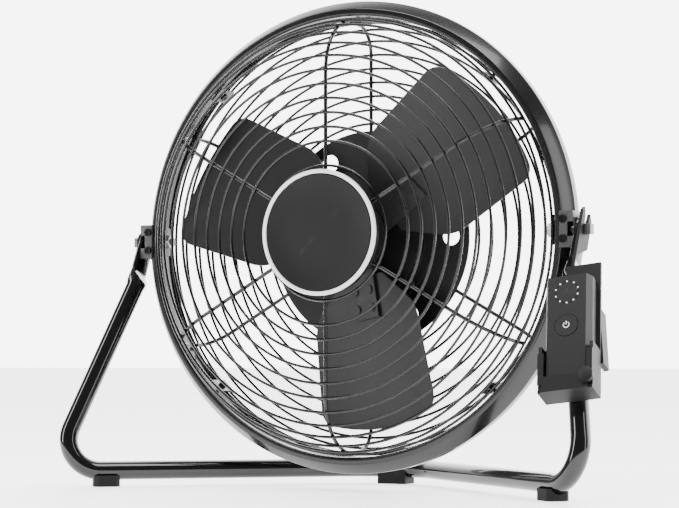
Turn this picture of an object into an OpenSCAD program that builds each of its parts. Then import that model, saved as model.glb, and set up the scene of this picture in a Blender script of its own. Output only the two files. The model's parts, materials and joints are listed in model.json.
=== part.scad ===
// Round high-velocity floor fan on a bent-tube stand, with a hand controller in a holster.
// Frame: floor at z = 0, +Z up, the fan blows towards -Y, origin under the middle of the footprint.

/* [Stand] */
// Height of the tilt axis above the floor
pivot_h = 192; // [188:1:240]
// Outside diameter of the stand tube
tube_d = 14.5; // [12:0.5:18]
// Wall of the stand tube
tube_wall = 1.4; // [1:0.1:2]
// Forward lean of the arms from upright
arm_lean = 25.2; // [15:0.2:32]
// Outward splay of the arms below the straps
arm_splay = 11.3; // [8:0.1:15]
// Distance along an arm from the tilt axis to the top of the round tube
arm_top = 40; // [38:1:48]
// Angle of the two base legs back from the X axis
leg_angle = 40; // [30:1:44]
// Bend radius at the two front corners
corner_bend = 24; // [20:1:34]
// Bend radius at the rear apex of the base
apex_bend = 60; // [40:1:90]
// Rubber under the tube
foot_h = 5; // [3:0.5:8]
// Half distance between the two front feet
foot_half = 184; // [150:1:186]
// Size of a foot along the tube
foot_len = 20; // [14:1:30]

/* [Drum] */
// Outside radius of the drum ring
drum_r = 181; // [170:1:188]
// Radial width of the hollow channel of the drum ring
channel_w = 13; // [11:0.5:16]
// Front lip ahead of the tilt axis
lip_z = 10; // [6:0.5:14]
// Outer wall behind the tilt axis
barrel_back = 9.5; // [8:0.5:16]
// Inner wall behind the tilt axis
throat_back = 12.5; // [10:0.5:18]
// Sheet steel of the drum
sheet = 1.2; // [0.8:0.1:2]

/* [Grilles] */
// Wire diameter of the grille rings
ring_d = 2.2; // [1.8:0.1:3]
// Wire diameter of the grille spokes
spoke_d = 3; // [2.6:0.1:4]
// Spacing of the rings along the wire
ring_pitch = 10.8; // [9:0.1:14]
// Radius of the first ring outside the cap
first_ring_r = 68.6; // [60:0.1:80]
// Number of spokes in each grille
spokes = 6; // [4:1:8]
// Rings of the front grille
front_rings = 11; // [10:1:11]
// Front of the flat part of the front grille, ahead of the tilt axis
front_flat = 47.5; // [44:0.5:54]
// Shoulder radius of the front grille
front_shoulder = 46; // [30:1:46]
// Rings of the rear grille
rear_rings = 9; // [7:1:9]
// Back of the flat part of the rear grille, behind the tilt axis
rear_flat = 37; // [34:0.5:44]
// Shoulder radius of the rear grille
rear_shoulder = 23; // [16:1:26]

/* [Cap] */
// Radius of the front cap
cap_r = 47; // [40:0.5:56]
// Front face of the cap ahead of the tilt axis
cap_front = 57; // [54:0.5:62]
// Width of the pale trim ring
trim_w = 3; // [2:0.5:5]

/* [Blades] */
// Tip radius of the blades
blade_r = 148; // [120:1:154]
// Number of blades
blades = 3; // [2:1:3]
// Angle of the first blade
blade_angle = 39; // [0:1:119]
// Half width of a blade near its root
blade_half = 50; // [36:1:52]
// Pitch of the blades
blade_pitch = 14.3; // [10:0.1:18]
// Thickness of a blade
blade_t = 1.5; // [1:0.1:2]
// Camber radius of a blade
camber_r = 300; // [220:5:500]
// Middle of a blade behind the tilt axis
blade_back = 9; // [7:0.5:10]

/* [Motor] */
// Outside radius of the motor shells
motor_r = 48; // [46:0.5:52]
// Front face of the motor behind the tilt axis
motor_front = 19; // [18.5:0.5:20]
// Rear face of the motor behind the tilt axis
motor_rear = 60; // [58:0.5:66]
// Wall of the motor shells
motor_wall = 2.2; // [1.8:0.1:2.6]
// Shaft diameter
shaft_d = 8; // [6:0.5:9]
// Outside diameter of the ball bearings
bearing_d = 22; // [20:0.5:24]
// Width of the ball bearings
bearing_w = 7; // [6:0.5:8]
// Radius of the plate that carries the motor
plate_r = 84; // [76:0.5:88]

/* [Tilt hinge] */
// Bolt diameter
bolt_d = 6; // [5:0.5:7]
// Radial play of the bolt in the strap
bolt_play = 0.05; // [0.02:0.01:0.08]
// Height of the bracket on the drum
bracket_h = 26.6; // [24:0.2:32]
// Sheet of the bracket
bracket_t = 1.6; // [1.2:0.1:2.4]
// Thickness of the flattened end of the tube
strap_t = 2.6; // [2:0.1:3.4]
// Width of the flattened end of the tube
strap_w = 19; // [16:0.5:22]
// Side of the square bolt head
head_w = 7.6; // [7:0.2:10]
// Gap between pieces that move past each other
gap = 0.3; // [0.2:0.05:0.5]

/* [Controller] */
// Width of the controller
ctl_w = 34; // [32:0.5:38]
// Length of the controller
ctl_l = 82; // [76:1:92]
// Thickness of the controller
ctl_t = 15; // [13:0.5:17]
// Wall of the controller shells
ctl_wall = 1.8; // [1.4:0.1:2.2]
// Roll of the controller back from the splay of its arm
ctl_roll = 3.5; // [0:0.5:5]
// Start of the controller below the top of the round tube
ctl_drop = 12; // [10:1:20]
// Radius of the round button
button_r = 8.4; // [7:0.1:9]
// Travel of the button
button_travel = 1.2; // [0.8:0.1:1.6]
// Number of indicator lights
lamps = 10; // [6:1:12]
// Radius of the ring of indicator lights
lamp_ring_r = 8.4; // [7:0.1:9]
// Wall of the holster
holster_wall = 2.4; // [2:0.1:3]

/* [Hidden] */
$fn = 64;
tube_r = tube_d / 2;
tube_z = foot_h + tube_r;
// A straight run ends inside the wall of the bend that it meets
bend_lap = 0.4;
bend_step = 0.05;
throat_r = drum_r - channel_w;
basket_r = throat_r - ring_d / 2 - 0.3;
wire_step = (ring_d + spoke_d) / 2 - 0.6;
wire_lap = 0.4;

// Stack of the tilt hinge, outwards from the drum
flange_x = drum_r + gap;
strap_x = flange_x + bracket_t + gap;
hanger_x = strap_x + strap_t + gap;
hanger_t = 2.4;
head_x = hanger_x + hanger_t + gap;
head_l = 4.8;
bolt_inner = throat_r - 9;
nut_w = 10;
nut_t = 5;
backing_t = 2;
bracket_top_x = drum_r - 8.6;
bracket_screw_x = drum_r - 5.6;
bracket_screw_y = bracket_h / 2 - 6.1;
screw_head_r = 3;
screw_r = 1.6;

// Path of the stand tube
arm_down = [sin(arm_splay), -cos(arm_splay) * sin(arm_lean), -cos(arm_splay) * cos(arm_lean)];
leg_dir = [-cos(leg_angle), sin(leg_angle), 0];
tube_top_x = strap_x + strap_t / 2;
arm_run = ((pivot_h - tube_z) / cos(arm_lean) - arm_top) / cos(arm_splay);
corner_x = tube_top_x + arm_run * sin(arm_splay);
corner_turn = acos(arm_down * leg_dir);
apex_y = corner_x * tan(leg_angle);
apex_reach = apex_y - apex_bend * (1 / cos(leg_angle) - 1);
bend_front = min([for (t = [0:5:corner_turn]) bend_point(corner_turn, corner_bend, arm_down, leg_dir, t)[1]]);
corner_y = -(apex_reach + bend_front) / 2;
pivot_y = corner_y + (pivot_h - tube_z) * tan(arm_lean);
corner = [corner_x, corner_y, tube_z];
apex = [0, corner_y + apex_y, tube_z];
foot_y = corner_y + (corner_x - foot_half) * tan(leg_angle);
apex_tube_y = corner_y + apex_reach;

// Motor, measured along the fan axis with +z towards the front
plate_t = 1.5;
plate_z = -rear_flat + ring_d / 2 + wire_step + spoke_d / 2;
flange_r = motor_r + 7.5;
motor_screw_r = motor_r + 3.6;
stator_len = 15;
stator_r = motor_r - motor_wall - 0.1;
rotor_r = 26;
air_gap = 0.5;
boss_wall = 3;
front_bearing_z = -motor_front - motor_wall - bearing_w;
rear_bearing_z = -motor_rear + motor_wall;
stator_z = (front_bearing_z + rear_bearing_z + bearing_w - stator_len) / 2;
hub_boss_r = 14;
hub_boss_front = 8;
hub_boss_back = motor_front - 2.5;
shaft_front = hub_boss_front + 14;

// Controller, in the frame of the right arm's tube
ctl_back = -tube_r - 0.5 - holster_wall - gap;
ctl_front = ctl_back - ctl_t;
ctl_top = -ctl_drop;
ctl_bottom = ctl_top - ctl_l;
ctl_x = 4;
ctl_split = ctl_back - ctl_t * 0.45;
ctl_edge = 3;
ctl_edge_depth = 6;
lamp_z = ctl_top - 13;
button_z = ctl_top - 39;
board_t = 1.6;
board_y = ctl_split - 1.2;
cradle_top = ctl_bottom + 28;

// ---- Vectors and placing ----

function unit(v) = v / norm(v);

// Point of a bend, from its corner: t degrees into a turn from direction a to direction b
function bend_point(turn, r, a, b, t) =
    let (axis = unit(cross(a, b)))
    let (inward = cross(axis, a))
    let (start = -a * r * tan(turn / 2))
    start + inward * r * (1 - cos(t)) + a * r * sin(t);

module along(p, z_dir, x_dir) {
    y_dir = cross(z_dir, x_dir);
    multmatrix([
        [x_dir[0], y_dir[0], z_dir[0], p[0]],
        [x_dir[1], y_dir[1], z_dir[1], p[1]],
        [x_dir[2], y_dir[2], z_dir[2], p[2]],
        [0, 0, 0, 1]
    ]) children();
}

// Straight tube from p to q
module tube_run(p, q) {
    z_dir = unit(q - p);
    x_dir = unit(cross([0.3, 0, 1], z_dir));
    along(p, z_dir, x_dir)
    translate([0, 0, -bend_lap])
    linear_extrude(norm(q - p) + 2 * bend_lap)
    tube_section(bend_step);
}

// Bend at corner c, from travel direction a to travel direction b
module tube_bend(c, a, b, r) {
    turn = acos(a * b);
    axis = unit(cross(a, b));
    outward = -cross(axis, a);
    centre = c - a * r * tan(turn / 2) - outward * r;
    along(centre, axis, outward)
    rotate_extrude(angle = turn, $fn = 96)
    translate([r, 0])
    tube_section(0);
}

// Section of the tube, its wall thinned by the given step on both sides
module tube_section(thin) {
    difference() {
        circle(r = tube_r - thin);
        circle(r = tube_r - tube_wall + thin);
    }
}

// Fan axis: x right, y up, z forwards, from the tilt axis
module fan_axis() {
    translate([0, pivot_y, pivot_h])
    rotate([90, 0, 0])
    children();
}

// Plane of an arm: z up along the lean, from the tilt axis
module arm_frame() {
    translate([0, pivot_y, pivot_h])
    rotate([-arm_lean, 0, 0])
    children();
}

// Tube of the right arm: z up along the tube, y backwards, from the top of the round tube
module tube_frame() {
    arm_frame()
    translate([tube_top_x, 0, -arm_top])
    rotate([0, -arm_splay, 0])
    children();
}

// Extrudes a YZ outline by t along +X from x
module plate_x(x, t) {
    translate([x, 0, 0])
    rotate([90, 0, 90])
    linear_extrude(t)
    children();
}

// Controller in its holster: the tube's frame, rolled about the controller's top
module ctl_frame() {
    tube_frame()
    translate([ctl_x, 0, ctl_top])
    rotate([0, ctl_roll, 0])
    translate([-ctl_x, 0, -ctl_top])
    children();
}

module ring(r_in, r_out, z, h) {
    translate([0, 0, z])
    difference() {
        cylinder(r = r_out, h = h);
        translate([0, 0, -1]) cylinder(r = r_in, h = h + 2);
    }
}

module wire_ring(r, z, d) {
    rotate_extrude($fn = 128)
    translate([r, z])
    circle(d = d, $fn = 24);
}

// Box from its lowest to its highest corner
module block(low, high) {
    translate(low) cube(high - low);
}

// ---- Stand ----

module stand_tube() {
    color("#101010")
    difference() {
        union() {
            for (side = [0, 1]) mirror([side, 0, 0]) half_stand();
            tube_bend(apex, leg_dir, [leg_dir[0], -leg_dir[1], 0], apex_bend);
        }
        arm_frame() rotate([0, 90, 0]) cylinder(d = bolt_d + 2 * bolt_play, h = 4 * drum_r, center = true);
    }
}

module half_stand() {
    tube_top = corner - arm_down * arm_run;
    reach = corner_bend * tan(corner_turn / 2);
    apex_trim = apex_bend * tan(leg_angle);
    tube_run(tube_top, corner - arm_down * reach);
    tube_bend(corner, arm_down, leg_dir, corner_bend);
    tube_run(corner + leg_dir * reach, apex - leg_dir * apex_trim);
    arm_frame() strap();
}

// Flattened end of the tube, drilled later for the bolt
module strap() {
    flat_end = -arm_top + 14;
    step = 0.3;
    lap = 0.6;
    plate_x(strap_x, strap_t) {
        circle(d = strap_w);
        translate([-strap_w / 2, flat_end]) square([strap_w, -flat_end]);
    }
    hull() {
        block([strap_x + step, -strap_w / 2 + step, flat_end - lap],
              [strap_x + strap_t - step, strap_w / 2 - step, flat_end + lap]);
        translate([tube_top_x, 0, -arm_top])
        rotate([0, -arm_splay, 0])
        translate([0, 0, -3 * lap])
        cylinder(r = tube_r - step, h = 4 * lap, $fn = 32);
    }
}

module front_foot() {
    seat_play = 0.1;
    chamfer = 3;
    half_l = foot_len / 2;
    half_w = tube_r + 1.5;
    difference() {
        translate([foot_half, foot_y, 0])
        rotate([0, 0, -leg_angle])
        linear_extrude(foot_h + tube_r * 0.5)
        polygon([
            [-half_l, -half_w + chamfer], [-half_l + chamfer, -half_w],
            [half_l - chamfer, -half_w], [half_l, -half_w + chamfer],
            [half_l, half_w - chamfer], [half_l - chamfer, half_w],
            [-half_l + chamfer, half_w], [-half_l, half_w - chamfer]
        ]);
        along([foot_half, foot_y, tube_z] - leg_dir * foot_len, leg_dir, [0, 0, 1])
        cylinder(r = tube_r + seat_play, h = 2 * foot_len);
    }
}

module foot_left() {
    color("#1c1c1c") mirror([1, 0, 0]) front_foot();
}

module foot_right() {
    color("#1c1c1c") front_foot();
}

// Saddle under the apex of the base
module foot_rear() {
    half_l = foot_len * 0.6;
    half_w = tube_r + 1.5;
    color("#1c1c1c")
    difference() {
        block([-half_l, apex_tube_y - half_w, 0], [half_l, apex_tube_y + half_w, tube_z + tube_r * 0.55]);
        translate([0, apex[1] - apex_bend / cos(leg_angle), tube_z])
        rotate_extrude($fn = 128)
        translate([apex_bend, 0])
        circle(r = tube_r + 0.02);
        block([-half_l - 1, apex_tube_y - half_w - 1, tube_z - tube_r * 0.2],
              [half_l + 1, apex_tube_y - tube_r * 0.6, tube_z + tube_r]);
    }
}

// ---- Drum and grilles ----

// Hollow channel ring, open at the back, with a conical front face and rolled edges
module drum_ring() {
    bead = 1.6;
    flare_z = 0.5;
    crest = throat_r + 4;
    color("#141414")
    fan_axis()
    difference() {
        rotate_extrude($fn = 180) {
            polygon([
                [drum_r, -barrel_back], [drum_r, flare_z],
                [crest, lip_z], [throat_r, lip_z],
                [throat_r, -throat_back], [throat_r + sheet, -throat_back],
                [throat_r + sheet, lip_z - sheet], [crest - sheet / 2, lip_z - sheet],
                [drum_r - sheet, flare_z - sheet / 2], [drum_r - sheet, -barrel_back]
            ]);
            translate([drum_r - bead, -barrel_back]) circle(r = bead, $fn = 32);
            translate([throat_r + bead, -throat_back]) circle(r = bead, $fn = 32);
        }
        for (side = [-1, 1]) {
            rotate([0, 90 * side, 0]) cylinder(d = bolt_d + 0.4, h = 2 * drum_r);
            for (up = [-1, 1])
                translate([side * bracket_screw_x, up * bracket_screw_y, -2])
                cylinder(r = screw_r, h = lip_z + 4);
        }
        for (a = clip_angles())
            rotate([0, 0, a])
            translate([0, 0, clip_z])
            rotate([0, 90, 0])
            cylinder(r = screw_r, h = throat_r + 4);
    }
}

// Angle round the shoulder of a ring at distance s along the wire from the axis
function turn_at(s, flat_r, shoulder) = max(0, s - flat_r) / shoulder * 180 / PI;
function ring_r_at(s, flat_r, shoulder) =
    min(s, flat_r) + shoulder * sin(turn_at(s, flat_r, shoulder));
function ring_drop_at(s, flat_r, shoulder) =
    shoulder * (1 - cos(turn_at(s, flat_r, shoulder)));

// Basket of wires that opens towards -z, its flat rings at z = 0
module basket(first_r, count, shoulder, depth, inner_r) {
    flat_r = basket_r - shoulder;
    bend_r = shoulder - wire_step;
    straight = depth - shoulder;
    turn = straight > 0 ? 90 : acos(-straight / bend_r);
    elbow_lap = 0.3;
    elbow_step = 0.1;
    for (i = [0:count - 1])
        wire_ring(ring_r_at(first_r + i * ring_pitch, flat_r, shoulder),
                  -ring_drop_at(first_r + i * ring_pitch, flat_r, shoulder), ring_d);
    for (i = [0:spokes - 1])
        rotate([0, 0, 90 + i * 360 / spokes]) {
            translate([inner_r, 0, -wire_step])
            rotate([0, 90, 0])
            cylinder(d = spoke_d, h = flat_r + elbow_lap - inner_r, $fn = 24);
            translate([flat_r, 0, -shoulder])
            rotate([90, 0, 0])
            rotate([0, 0, 90 - turn])
            rotate_extrude(angle = turn, $fn = 96)
            translate([bend_r, 0])
            circle(d = spoke_d + elbow_step, $fn = 24);
            if (straight > 0)
                translate([flat_r + bend_r, 0, -depth])
                cylinder(d = spoke_d, h = straight + elbow_lap, $fn = 24);
        }
    end_turn = turn - asin((ring_d / 2 + wire_lap) / shoulder);
    if (straight > 0)
        wire_ring(basket_r, -depth + ring_d / 2 + wire_lap, ring_d);
    else
        wire_ring(flat_r + shoulder * sin(end_turn), shoulder * (cos(end_turn) - 1), ring_d);
}

front_end_z = 6.6;
rear_end_z = -9;
clip_z = (front_end_z + rear_end_z) / 2;
clip_w = 12;
clip_inner = basket_r - wire_step - spoke_d / 2 - 0.1;
function clip_angles() = [for (i = [0:3]) 45 + i * 90];

module front_grille() {
    hub_wire_r = cap_r + 3.4;
    color("#1a1a1a")
    fan_axis() {
        translate([0, 0, front_flat - ring_d / 2])
        basket(first_ring_r, front_rings, front_shoulder, front_flat - ring_d / 2 - front_end_z, cap_r - 12);
        wire_ring(hub_wire_r, front_flat - ring_d / 2, ring_d);
    }
}

module rear_grille() {
    start_r = first_ring_r + 2 * ring_pitch;
    color("#111111")
    fan_axis()
    mirror([0, 0, 1])
    translate([0, 0, rear_flat - ring_d / 2])
    basket(start_r, rear_rings, rear_shoulder, rear_flat - ring_d / 2 + rear_end_z, motor_r + 10);
}

module grille_clips() {
    color("#202020")
    fan_axis()
    for (a = clip_angles())
        rotate([0, 0, a])
        difference() {
            block(
                [clip_inner - 1.6, -clip_w / 2, rear_end_z - 2.5],
                [clip_inner, clip_w / 2, front_end_z + 2.5]
            );
            translate([0, 0, clip_z]) rotate([0, 90, 0]) cylinder(r = screw_r, h = basket_r);
        }
}

module grille_clip_screws() {
    color("#3a3a3a")
    fan_axis()
    for (a = clip_angles())
        rotate([0, 0, a])
        translate([clip_inner - 1.6, 0, clip_z])
        rotate([0, 90, 0])
        cross_screw(throat_r + sheet + 2 - clip_inner + 1.6);
}

// Pan head screw: its head is below z = 0 and its shank runs up to z = length
module cross_screw(length) {
    head_t = 2;
    slot = 0.9;
    difference() {
        union() {
            cylinder(r = screw_r, h = length);
            translate([0, 0, -head_t]) cylinder(r = screw_head_r, h = head_t);
        }
        for (turn = [0, 90])
            rotate([0, 0, turn])
            translate([-screw_head_r * 0.6, -slot / 2, -head_t - 1])
            cube([screw_head_r * 1.2, slot, 2]);
    }
}

// ---- Cap ----

module cap_shell() {
    wall = 2;
    skirt = 7;
    color("#2e2e30")
    fan_axis()
    difference() {
        translate([0, 0, cap_front - 0.6 - skirt]) cylinder(r = cap_r - 0.3, h = skirt);
        translate([0, 0, cap_front - 0.6 - skirt - 1]) cylinder(r = cap_r - 0.3 - wall, h = skirt + 1 - wall);
        translate([0, 0, cap_front - 2]) ring(cap_r - trim_w, cap_r + 1, 0, 3);
        ring_cut_for_spokes();
        translate([0, 0, cap_front - 12]) cylinder(r = screw_r, h = 9);
    }
}

// Slots in the skirt where the spokes and the first wire pass
module ring_cut_for_spokes() {
    z = front_flat - ring_d / 2 - wire_step;
    for (i = [0:spokes - 1])
        rotate([0, 0, 90 + i * 360 / spokes])
        translate([0, -spoke_d / 2 - 0.1, z - spoke_d])
        cube([cap_r + 1, spoke_d + 0.2, 1.5 * spoke_d + 0.1]);
}

module cap_trim_ring() {
    color("#e8e8e6")
    fan_axis()
    ring(cap_r - trim_w + 0.02, cap_r, cap_front - 1.98, 1.98);
}

// Disc behind the spokes that the cap screws to
module cap_backing() {
    t = 1.6;
    z = front_flat - ring_d / 2 - wire_step - spoke_d / 2 - t;
    color("#202022")
    fan_axis()
    difference() {
        translate([0, 0, z]) cylinder(r = cap_r - 5, h = t);
        translate([0, 0, z - 1]) cylinder(r = screw_r + 0.05, h = t + 2);
    }
}

module cap_screw() {
    z = front_flat - ring_d / 2 - wire_step - spoke_d / 2 - 1.6;
    color("#8a8a8a")
    fan_axis()
    translate([0, 0, z])
    cross_screw(cap_front - 2.6 - z);
}

// ---- Motor ----

module motor_plate() {
    color("#1b1b1b")
    fan_axis()
    difference() {
        ring(motor_r - 1, plate_r, plate_z, plate_t);
        motor_screw_holes();
        for (i = [0:spokes - 1])
            rotate([0, 0, 60 + i * 360 / spokes])
            translate([motor_r + 21, 0, plate_z - 1])
            cylinder(r = 7, h = plate_t + 2);
    }
}

module motor_screw_holes() {
    for (i = [0:3])
        rotate([0, 0, 45 + i * 90])
        translate([motor_screw_r, 0, -motor_rear])
        cylinder(r = screw_r, h = motor_rear);
}

// Cup with a flange and a bearing seat, open towards +z; its floor is at z = 0
module motor_cup(depth) {
    difference() {
        union() {
            cylinder(r = motor_r, h = depth);
            translate([0, 0, depth - 2]) cylinder(r = flange_r, h = 2);
        }
        difference() {
            translate([0, 0, motor_wall]) cylinder(r = motor_r - motor_wall, h = depth);
            cylinder(d = bearing_d + 2 * boss_wall, h = motor_wall + bearing_w);
        }
        translate([0, 0, motor_wall]) cylinder(d = bearing_d, h = depth);
        translate([0, 0, -1]) cylinder(d = shaft_d + 2, h = motor_wall + 2);
    }
}

module motor_front_shell() {
    depth = -motor_front - plate_z - plate_t;
    color("#151515")
    fan_axis()
    difference() {
        translate([0, 0, -motor_front]) mirror([0, 0, 1]) motor_cup(depth);
        motor_screw_holes();
    }
}

module motor_rear_shell() {
    color("#151515")
    fan_axis()
    difference() {
        translate([0, 0, -motor_rear]) motor_cup(motor_rear + plate_z);
        motor_screw_holes();
        gland_place() translate([0, 0, -6]) cylinder(d = gland_d, h = 12);
        for (a = [0:30:330])
            rotate([0, 0, a + 15])
            translate([motor_r * 0.62, -1.5, -motor_rear - 1])
            cube([motor_r * 0.26, 3, motor_wall + 2]);
    }
}

gland_d = 9;
gland_z = -motor_rear + 9;

// Mouth of the cord gland: on the underside of the rear shell, pointing down
module gland_place() {
    translate([0, -motor_r, gland_z])
    rotate([90, 0, 0])
    children();
}

// Gland for a mains lead, with its through bore
module cord_gland() {
    color("#242424")
    fan_axis()
    gland_place()
    difference() {
        union() {
            translate([0, 0, -motor_wall]) cylinder(d = gland_d, h = motor_wall + 1);
            translate([0, 0, 0.2]) cylinder(d = gland_d + 4, h = 5, $fn = 6);
            translate([0, 0, 5]) cylinder(d = gland_d + 1.5, h = 5);
        }
        translate([0, 0, -motor_wall - 2]) cylinder(d = 6.4, h = 20);
    }
}

module stator_core() {
    teeth = 9;
    color("#6f7276")
    fan_axis() {
        ring(stator_r - 5, stator_r, stator_z, stator_len);
        for (i = [0:teeth - 1])
            rotate([0, 0, i * 360 / teeth]) {
                block([rotor_r + air_gap + 2.5, -2, stator_z], [stator_r - 4, 2, stator_z + stator_len]);
                translate([0, 0, stator_z])
                rotate([0, 0, -15])
                rotate_extrude(angle = 30)
                translate([rotor_r + air_gap, 0])
                square([3, stator_len]);
            }
    }
}

// A coil round each stator tooth
module stator_coils() {
    teeth = 9;
    coil_in = rotor_r + air_gap + 3.2;
    coil_out = stator_r - 5.3;
    color("#a5602c")
    fan_axis()
    for (i = [0:teeth - 1])
        rotate([0, 0, i * 360 / teeth])
        difference() {
            block([coil_in, -4.6, stator_z - 2.5], [coil_out, 4.6, stator_z + stator_len + 2.5]);
            block([coil_in - 1, -2.1, stator_z - 0.1], [coil_out + 1, 2.1, stator_z + stator_len + 0.1]);
        }
}

module motor_driver_board() {
    t = 1.6;
    z = stator_z - 2.5 - 1 - t;
    color("#1f5a38")
    fan_axis() {
        ring(bearing_d / 2 + boss_wall + 1, motor_r - motor_wall - 1, z, t);
        for (a = [20:72:340])
            rotate([0, 0, a])
            block([motor_r * 0.55, -3, z - 2.6], [motor_r * 0.55 + 8, 3, z]);
    }
}

module bearing(z) {
    color("#b9bcc0")
    fan_axis()
    difference() {
        ring(shaft_d / 2, bearing_d / 2, z, bearing_w);
        ring(shaft_d / 2 + 2, bearing_d / 2 - 2, z + bearing_w - 0.6, 1);
        ring(shaft_d / 2 + 2, bearing_d / 2 - 2, z - 0.4, 1);
    }
}

module front_bearing() {
    bearing(front_bearing_z);
}

module rear_bearing() {
    bearing(rear_bearing_z);
}

module motor_screws() {
    head_z = -motor_front - (-motor_front - plate_z - plate_t) + 2;
    color("#8a8a8a")
    fan_axis()
    for (i = [0:3])
        rotate([0, 0, 45 + i * 90])
        translate([motor_screw_r, 0, head_z])
        mirror([0, 0, 1])
        cross_screw(plate_t + 7);
}

// ---- Rotor ----

module motor_shaft() {
    rear_end = rear_bearing_z + 0.5;
    color("#c4c6c8")
    fan_axis()
    translate([0, 0, rear_end])
    cylinder(d = shaft_d - 2 * shaft_play, h = shaft_front - rear_end);
}

shaft_play = 0.03;

module rotor_core() {
    color("#55585c")
    fan_axis()
    ring(shaft_d / 2, rotor_r, stator_z - 1, stator_len + 2);
}

module blade_hub() {
    arm_w = 26;
    arm_t = 2.5;
    color("#38383a")
    fan_axis()
    difference() {
        union() {
            translate([0, 0, -hub_boss_back]) cylinder(r = hub_boss_r, h = hub_boss_back + hub_boss_front);
            translate([0, 0, -3]) cylinder(r = 27, h = 4);
            for (i = [0:blades - 1])
                blade_frame(i)
                block([10, -arm_w / 2, arm_lift], [64, arm_w / 2, arm_lift + arm_t]);
        }
        translate([0, 0, -hub_boss_back - 1]) cylinder(d = shaft_d, h = hub_boss_back + hub_boss_front + 2);
        for (i = [0:blades - 1]) blade_frame(i) rivet_holes();
    }
}

arm_lift = blade_t / 2 + 0.4;

// Frame of a blade: x along it, y across it, z off its front face, pitched
module blade_frame(i) {
    rotate([0, 0, blade_angle + i * 360 / blades])
    translate([0, 0, -blade_back])
    rotate([blade_pitch, 0, 0])
    children();
}

module rivet_places() {
    for (x = [42, 56], y = [-7, 7])
        translate([x, y, 0])
        children();
}

module rivet_holes() {
    rivet_places() cylinder(d = 4, h = 20, center = true);
}

// One cambered paddle blade of sheet
module blade(i) {
    tip_half = blade_half + 8;
    corner_cut = 11;
    color("#454548")
    fan_axis()
    blade_frame(i)
    difference() {
        intersection() {
            translate([0, 0, camber_r])
            rotate([0, 90, 0])
            ring(camber_r - blade_t / 2, camber_r + blade_t / 2, 0, blade_r + 10);
            translate([0, 0, -20])
            linear_extrude(40)
            intersection() {
                circle(r = blade_r, $fn = 180);
                polygon([
                    [31, -20], [60, -blade_half], [blade_r * 0.86, -tip_half],
                    [blade_r * 0.86 + corner_cut, -tip_half + corner_cut * 0.8], [blade_r + 5, -30],
                    [blade_r + 5, 30], [blade_r * 0.86 + corner_cut, tip_half - corner_cut * 0.8],
                    [blade_r * 0.86, tip_half], [60, blade_half], [31, 20]
                ]);
            }
        }
        rivet_holes();
    }
}

module blade_1() {
    blade(0);
}

module blade_2() {
    blade(1);
}

module blade_3() {
    blade(2);
}

module blade_rivets() {
    color("#77797c")
    fan_axis()
    for (i = [0:blades - 1])
        blade_frame(i)
        rivet_places() {
            translate([0, 0, -1.2]) cylinder(d = 4, h = arm_lift + 2.5 + 1.2);
            translate([0, 0, arm_lift + 2.5]) cylinder(d = 7, h = 1.2);
            translate([0, 0, -2.4]) cylinder(d = 7, h = 1.4);
        }
}

module hub_washer() {
    color("#9a9c9e")
    fan_axis()
    ring(shaft_d / 2, 9, hub_boss_front, 1.6);
}

module hub_nut() {
    color("#9a9c9e")
    fan_axis()
    translate([0, 0, hub_boss_front + 1.6])
    difference() {
        cylinder(d = 15, h = 6.5, $fn = 6);
        translate([0, 0, -1]) cylinder(d = shaft_d, h = 9);
    }
}

// ---- Tilt hinge ----

// Angle bracket on the right of the drum: a front tab and a side flange
module bracket() {
    notch_h = 10.6;
    notch_w = 4.4;
    tab_z = lip_z;
    difference() {
        union() {
            block(
                [bracket_top_x, -bracket_h / 2, tab_z],
                [flange_x + bracket_t, bracket_h / 2, tab_z + bracket_t]
            );
            block([flange_x, -bracket_h / 2, -barrel_back], [flange_x + bracket_t, bracket_h / 2, tab_z]);
        }
        block([flange_x + bracket_t - notch_w, -notch_h / 2, tab_z - 4],
              [flange_x + bracket_t + 1, notch_h / 2, tab_z + 5]);
        rotate([0, 90, 0]) cylinder(d = bolt_d, h = 2 * drum_r);
        for (up = [-1, 1])
            translate([bracket_screw_x, up * bracket_screw_y, 0])
            cylinder(r = screw_r, h = 3 * lip_z);
    }
}

module bracket_left() {
    color("#9b9b9b") fan_axis() mirror([1, 0, 0]) bracket();
}

module bracket_right() {
    color("#9b9b9b") fan_axis() bracket();
}

module bracket_screws() {
    color("#242424")
    fan_axis()
    for (side = [-1, 1], up = [-1, 1])
        translate([side * bracket_screw_x, up * bracket_screw_y, lip_z + bracket_t])
        mirror([0, 0, 1])
        cross_screw(9);
}

// Bolt of the tilt hinge, with a square head outside the strap
module tilt_bolt() {
    rotate([0, 90, 0])
    translate([0, 0, bolt_inner])
    cylinder(d = bolt_d, h = head_x - bolt_inner + 1);
    block([head_x, -head_w / 2, -head_w / 2], [head_x + head_l, head_w / 2, head_w / 2]);
}

module tilt_bolt_left() {
    color("#a6a6a6") fan_axis() mirror([1, 0, 0]) tilt_bolt();
}

module tilt_bolt_right() {
    color("#a6a6a6") fan_axis() tilt_bolt();
}

// Plate inside the drum that spreads the pull of the bolt
module bolt_backing() {
    half_y = 11;
    half_z = 6;
    outer_x = sqrt(throat_r * throat_r - half_y * half_y) - 0.1;
    difference() {
        block([outer_x - backing_t, -half_y, -half_z], [outer_x, half_y, half_z]);
        rotate([0, 90, 0]) cylinder(d = bolt_d, h = drum_r);
    }
}

module bolt_backing_left() {
    color("#1a1a1a") fan_axis() mirror([1, 0, 0]) bolt_backing();
}

module bolt_backing_right() {
    color("#1a1a1a") fan_axis() bolt_backing();
}

module bolt_nut() {
    outer_x = sqrt(throat_r * throat_r - 121) - 0.1 - backing_t;
    rotate([0, 90, 0])
    translate([0, 0, outer_x - nut_t])
    difference() {
        cylinder(d = nut_w * 1.15, h = nut_t, $fn = 6);
        translate([0, 0, -1]) cylinder(d = bolt_d, h = nut_t + 2);
    }
}

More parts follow.
